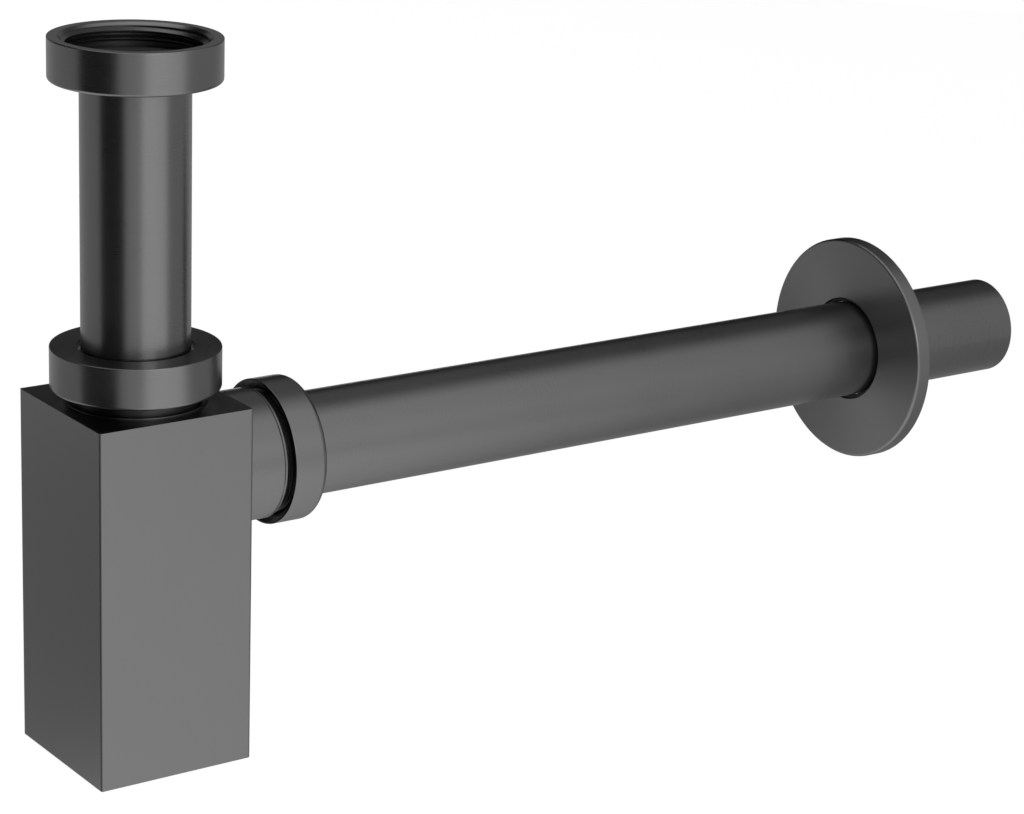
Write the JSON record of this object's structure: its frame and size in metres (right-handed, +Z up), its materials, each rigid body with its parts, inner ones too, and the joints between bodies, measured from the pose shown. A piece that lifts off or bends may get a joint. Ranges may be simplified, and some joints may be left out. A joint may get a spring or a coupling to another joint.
{
  "type": "basin trap",
  "caption": "Square bottle trap for a wash basin: union nut and inlet tube, hollow bottle with slip joints, long outlet tube and a round wall flange.",
  "frame": {"origin": "centre of the union gasket's top face, on the inlet axis, where the basin waste seats", "axes": "+Z up along the inlet axis out of the union nut, +X along the outlet towards the wall"},
  "size_m": [0.361, 0.075, 0.2169],
  "materials": {
    "dark_metal": "satin brushed gunmetal coating on brass",
    "black_rubber": "matt moulded rubber",
    "pale_plastic": "matt moulded plastic"
  },
  "bodies": {
    "inlet": {"inlet_tube": "dark_metal", "union_gasket": "black_rubber"},
    "union_nut": {"union_nut": "dark_metal"},
    "neck_seal": {"neck_cone_seal": "black_rubber"},
    "bottle": {"bottle_body": "dark_metal", "neck_nipple": "dark_metal", "outlet_nipple": "dark_metal", "dip_tube": "pale_plastic", "dip_gasket": "black_rubber", "outlet_cone_seal": "black_rubber"},
    "neck_slip_ring": {"neck_slip_ring": "pale_plastic"},
    "neck_nut": {"neck_nut": "dark_metal"},
    "outlet_slip_ring": {"outlet_slip_ring": "pale_plastic"},
    "outlet_nut": {"outlet_nut": "dark_metal"},
    "outlet_tube": {"outlet_tube": "dark_metal"},
    "wall_flange": {"wall_flange": "dark_metal", "flange_grip_ring": "black_rubber"},
    "plug_gasket": {"plug_gasket": "black_rubber"},
    "cleaning_plug": {"cleaning_plug": "dark_metal"}
  },
  "joints": [
    {"name": "union_nut_turn", "type": "hinge", "parent": "inlet", "child": "union_nut", "pos_m": [0, 0, 0], "axis": [0, 0, 1], "continuous": true},
    {"name": "bottle_height", "type": "slide", "parent": "inlet", "child": "neck_seal", "axis": [0, 0, 1], "range_m": [-0.025, 0.04]},
    {"name": "bottle_swivel", "type": "hinge", "parent": "neck_seal", "child": "bottle", "pos_m": [0, 0, -0.088], "axis": [0, 0, 1], "continuous": true},
    {"name": "neck_ring_lift", "type": "slide", "parent": "bottle", "child": "neck_slip_ring", "axis": [0, 0, 1], "range_m": [0, 0.00694]},
    {"name": "neck_nut_screw", "type": "hinge", "parent": "neck_slip_ring", "child": "neck_nut", "pos_m": [0, 0, -0.09], "axis": [0, 0, 1], "range_deg": [0, 1080]},
    {"name": "outlet_ring_travel", "type": "slide", "parent": "bottle", "child": "outlet_slip_ring", "axis": [1, 0, 0], "range_m": [0, 0.0076]},
    {"name": "outlet_nut_screw", "type": "hinge", "parent": "outlet_slip_ring", "child": "outlet_nut", "pos_m": [0.047, 0, -0.123], "axis": [1, 0, 0], "range_deg": [0, 1800]},
    {"name": "outlet_tube_depth", "type": "slide", "parent": "bottle", "child": "outlet_tube", "axis": [1, 0, 0], "range_m": [-0.007, 0.012]},
    {"name": "flange_travel", "type": "slide", "parent": "outlet_tube", "child": "wall_flange", "axis": [1, 0, 0], "range_m": [-0.2, 0.055]},
    {"name": "plug_gasket_drop", "type": "slide", "parent": "bottle", "child": "plug_gasket", "axis": [0, 0, -1], "range_m": [0, 0.0076]},
    {"name": "plug_screw", "type": "hinge", "parent": "plug_gasket", "child": "cleaning_plug", "pos_m": [0, 0, -0.21], "axis": [0, 0, -1], "range_deg": [0, 1800]}
  ],
  "couplings": [
    {"joint": "neck_ring_lift", "follows": "neck_nut_screw", "m_per_rad": 0.00036749},
    {"joint": "outlet_ring_travel", "follows": "outlet_nut_screw", "m_per_rad": 0.00023873},
    {"joint": "plug_gasket_drop", "follows": "plug_screw", "m_per_rad": 0.00023873}
  ]
}
